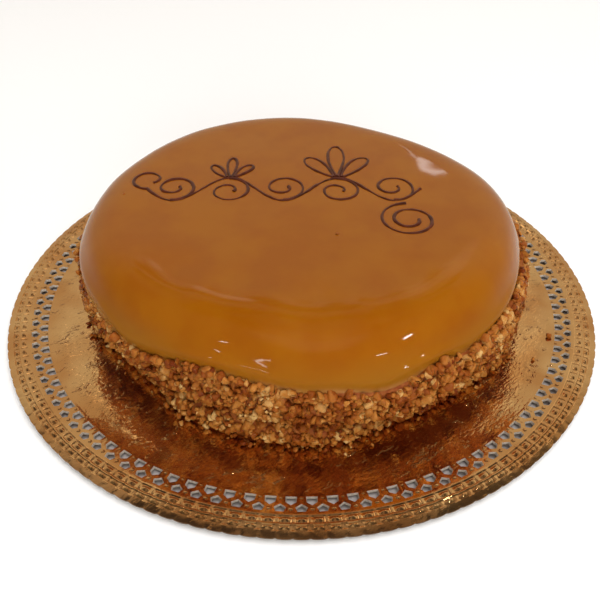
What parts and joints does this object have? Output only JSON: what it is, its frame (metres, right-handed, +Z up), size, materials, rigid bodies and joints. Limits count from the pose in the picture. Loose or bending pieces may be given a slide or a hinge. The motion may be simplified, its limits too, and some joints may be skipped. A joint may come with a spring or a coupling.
{
  "type": "glazed cake on a lace card tray",
  "caption": "Uncut oval caramel-glazed yogurt cake with a chopped-almond side and piped chocolate scrolls, on a round gold lace card tray.",
  "frame": {"origin": "middle of the tray's underside, on the surface that it stands on", "axes": "+Z up; -Y towards the front, the side that the picture was taken from; +X to the right seen from the front"},
  "size_m": [0.32, 0.32, 0.0666],
  "materials": {
    "gold_foil_card": "glossy gold foil",
    "caramelised_almond": "chopped caramelised almonds",
    "caramel_glaze": "wet mirror gloss"
  },
  "bodies": {
    "root": {"lace_tray": "gold_foil_card", "almond_cake": "caramelised_almond", "caramel_glaze": "caramel_glaze"}
  },
  "joints": []
}
